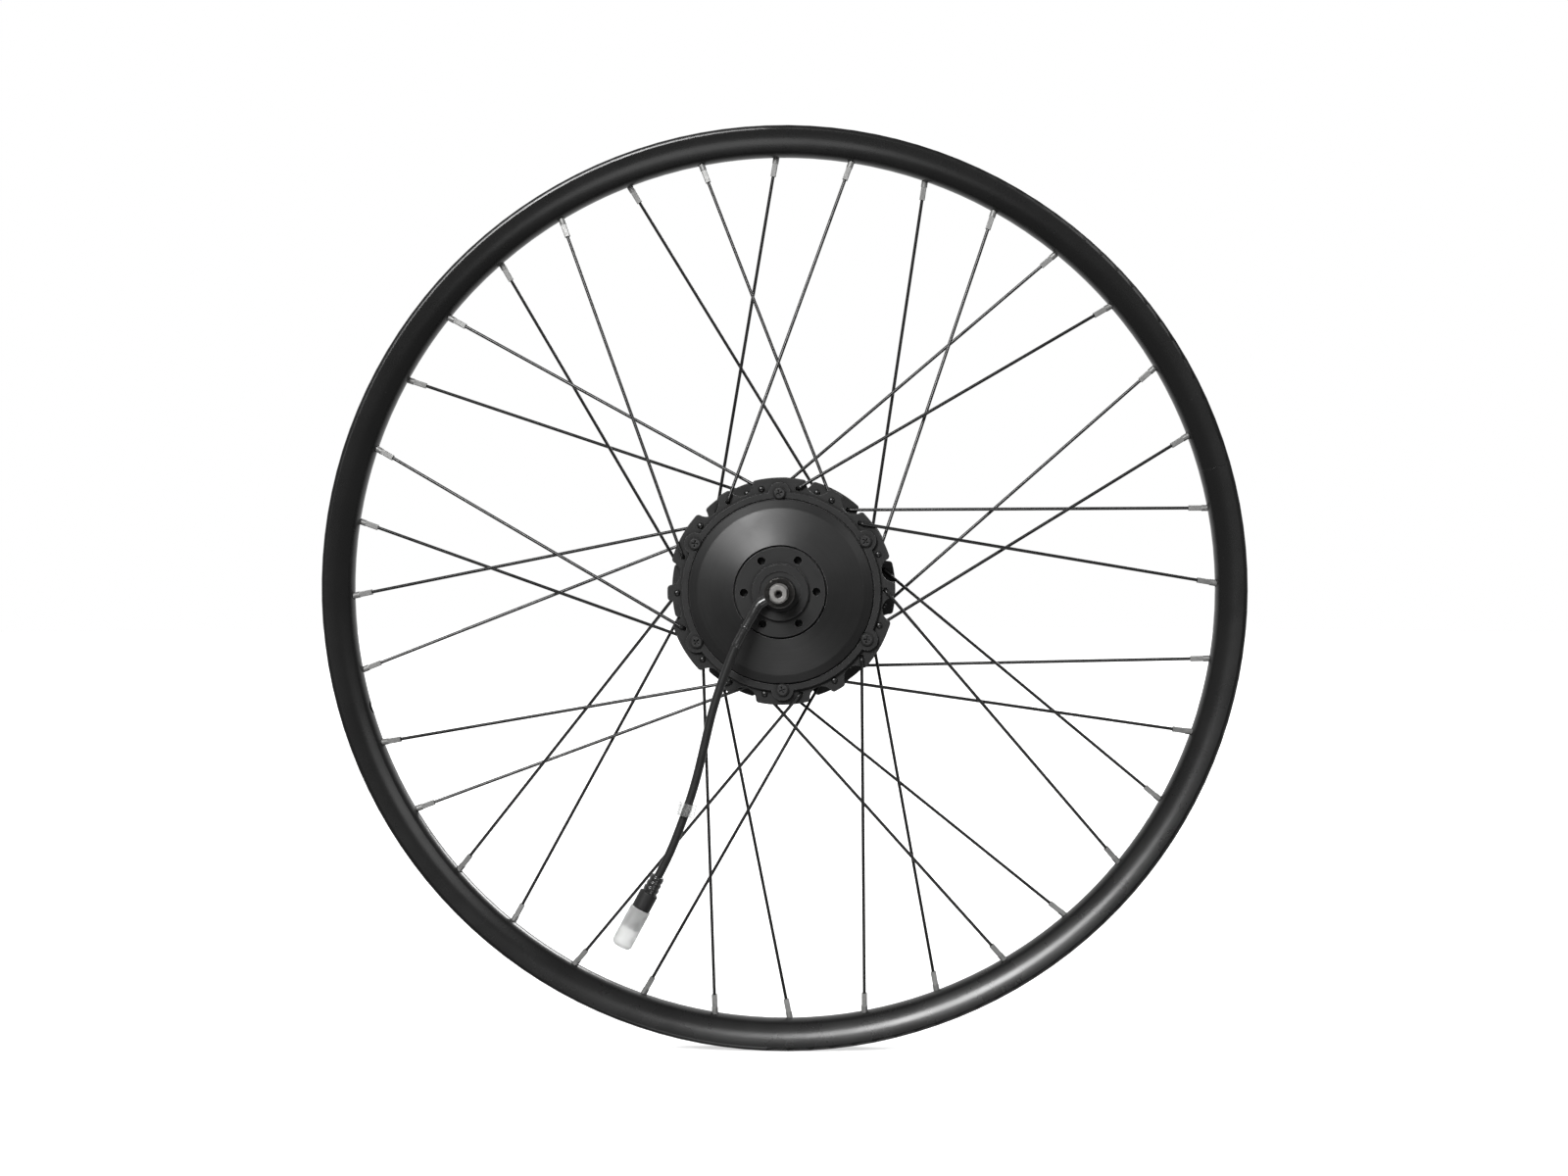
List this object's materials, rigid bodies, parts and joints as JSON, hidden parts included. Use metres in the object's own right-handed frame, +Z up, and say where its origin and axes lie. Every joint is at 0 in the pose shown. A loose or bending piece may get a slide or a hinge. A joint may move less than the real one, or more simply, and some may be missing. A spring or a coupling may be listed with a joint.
{
  "type": "hub motor wheel",
  "caption": "Spoked rear bicycle wheel with a black double-wall rim, a geared hub motor on a fixed axle and a capped motor cable.",
  "frame": {"origin": "on the axle's centre line, midway between the two dropout faces, which is the wheel's centre", "axes": "+Y along the axle from the cable and disc-brake side to the freewheel side, +Z up, +X to the right as seen from the cable side"},
  "size_m": [0.5719, 0.166, 0.572],
  "materials": {
    "rim_black": "satin black anodised",
    "hub_black": "satin black paint over cast aluminium",
    "spoke_black": "black oxide",
    "nipple_silver": "nickel plated",
    "screw_black": "black zinc",
    "axle_steel": "turned steel",
    "spacer_steel": "dark oxide",
    "bearing_steel": "ground",
    "seal_rubber": "matte",
    "core_steel": "laminated",
    "copper": "enamelled wire",
    "board_green": "solder mask",
    "magnet": "nickel plated",
    "can_steel": "zinc plated",
    "gear_steel": "cut",
    "gear_nylon": "moulded",
    "bush_bronze": "sintered",
    "carrier_alloy": "machined",
    "cable_black": "satin jacket",
    "boot_black": "moulded",
    "plug_black": "moulded",
    "clear_plastic": "translucent",
    "contact_brass": "plated"
  },
  "bodies": {
    "axle": {"axle": "axle_steel", "left_spacer": "spacer_steel", "right_spacer": "spacer_steel", "left_bearing_inner": "bearing_steel", "left_bearing_balls": "bearing_steel", "right_bearing_inner": "bearing_steel", "right_bearing_balls": "bearing_steel", "rotor_bearing_inner": "bearing_steel", "rotor_bearing_balls": "bearing_steel", "stator_hub": "carrier_alloy", "stator_core": "core_steel", "stator_windings": "copper", "hall_board": "board_green", "motor_leads": "cable_black", "planet_carrier": "carrier_alloy", "planet_pins": "gear_steel", "clutch_race": "gear_steel", "clutch_rollers": "bearing_steel", "clutch_circlip": "spacer_steel", "cable_elbow": "boot_black", "cable_boot": "boot_black", "cable_sleeve": "boot_black", "motor_cable": "cable_black", "cable_ring": "clear_plastic", "plug_relief": "boot_black", "plug_body": "plug_black", "plug_pins": "contact_brass", "plug_cap": "clear_plastic"},
    "wheel": {"rim": "rim_black", "spoke_nipples": "nipple_silver", "spokes_left_outer": "spoke_black", "spokes_left_inner": "spoke_black", "spokes_right_inner": "spoke_black", "spokes_right_outer": "spoke_black", "hub_shell": "hub_black", "side_cover": "hub_black", "cover_screws": "screw_black", "cover_seal": "seal_rubber", "left_lip_seal": "seal_rubber", "right_lip_seal": "seal_rubber", "ring_gear": "gear_steel", "left_bearing_outer": "bearing_steel", "right_bearing_outer": "bearing_steel"},
    "rotor": {"rotor_can": "can_steel", "rotor_magnets": "magnet", "sun_gear": "gear_steel", "rotor_bearing_outer": "bearing_steel"},
    "planet_1": {"planet_gear_1": "gear_nylon", "planet_bush_1": "bush_bronze"},
    "planet_2": {"planet_gear_2": "gear_nylon", "planet_bush_2": "bush_bronze"},
    "planet_3": {"planet_gear_3": "gear_nylon", "planet_bush_3": "bush_bronze"}
  },
  "joints": [
    {"name": "wheel_spin", "type": "hinge", "parent": "axle", "child": "wheel", "pos_m": [0, 0, 0], "axis": [0, 1, 0], "continuous": true},
    {"name": "rotor_spin", "type": "hinge", "parent": "axle", "child": "rotor", "pos_m": [0, 0, 0], "axis": [0, 1, 0], "continuous": true},
    {"name": "planet_1_spin", "type": "hinge", "parent": "axle", "child": "planet_1", "pos_m": [0, 0.004, 0.02813], "axis": [0, 1, 0], "continuous": true},
    {"name": "planet_2_spin", "type": "hinge", "parent": "axle", "child": "planet_2", "pos_m": [-0.02436, 0.004, -0.01406], "axis": [0, 1, 0], "continuous": true},
    {"name": "planet_3_spin", "type": "hinge", "parent": "axle", "child": "planet_3", "pos_m": [0.02436, 0.004, -0.01406], "axis": [0, 1, 0], "continuous": true}
  ],
  "couplings": [
    {"joint": "rotor_spin", "follows": "wheel_spin", "ratio": -4},
    {"joint": "planet_1_spin", "follows": "wheel_spin", "ratio": 2.6667},
    {"joint": "planet_2_spin", "follows": "wheel_spin", "ratio": 2.6667},
    {"joint": "planet_3_spin", "follows": "wheel_spin", "ratio": 2.6667}
  ]
}
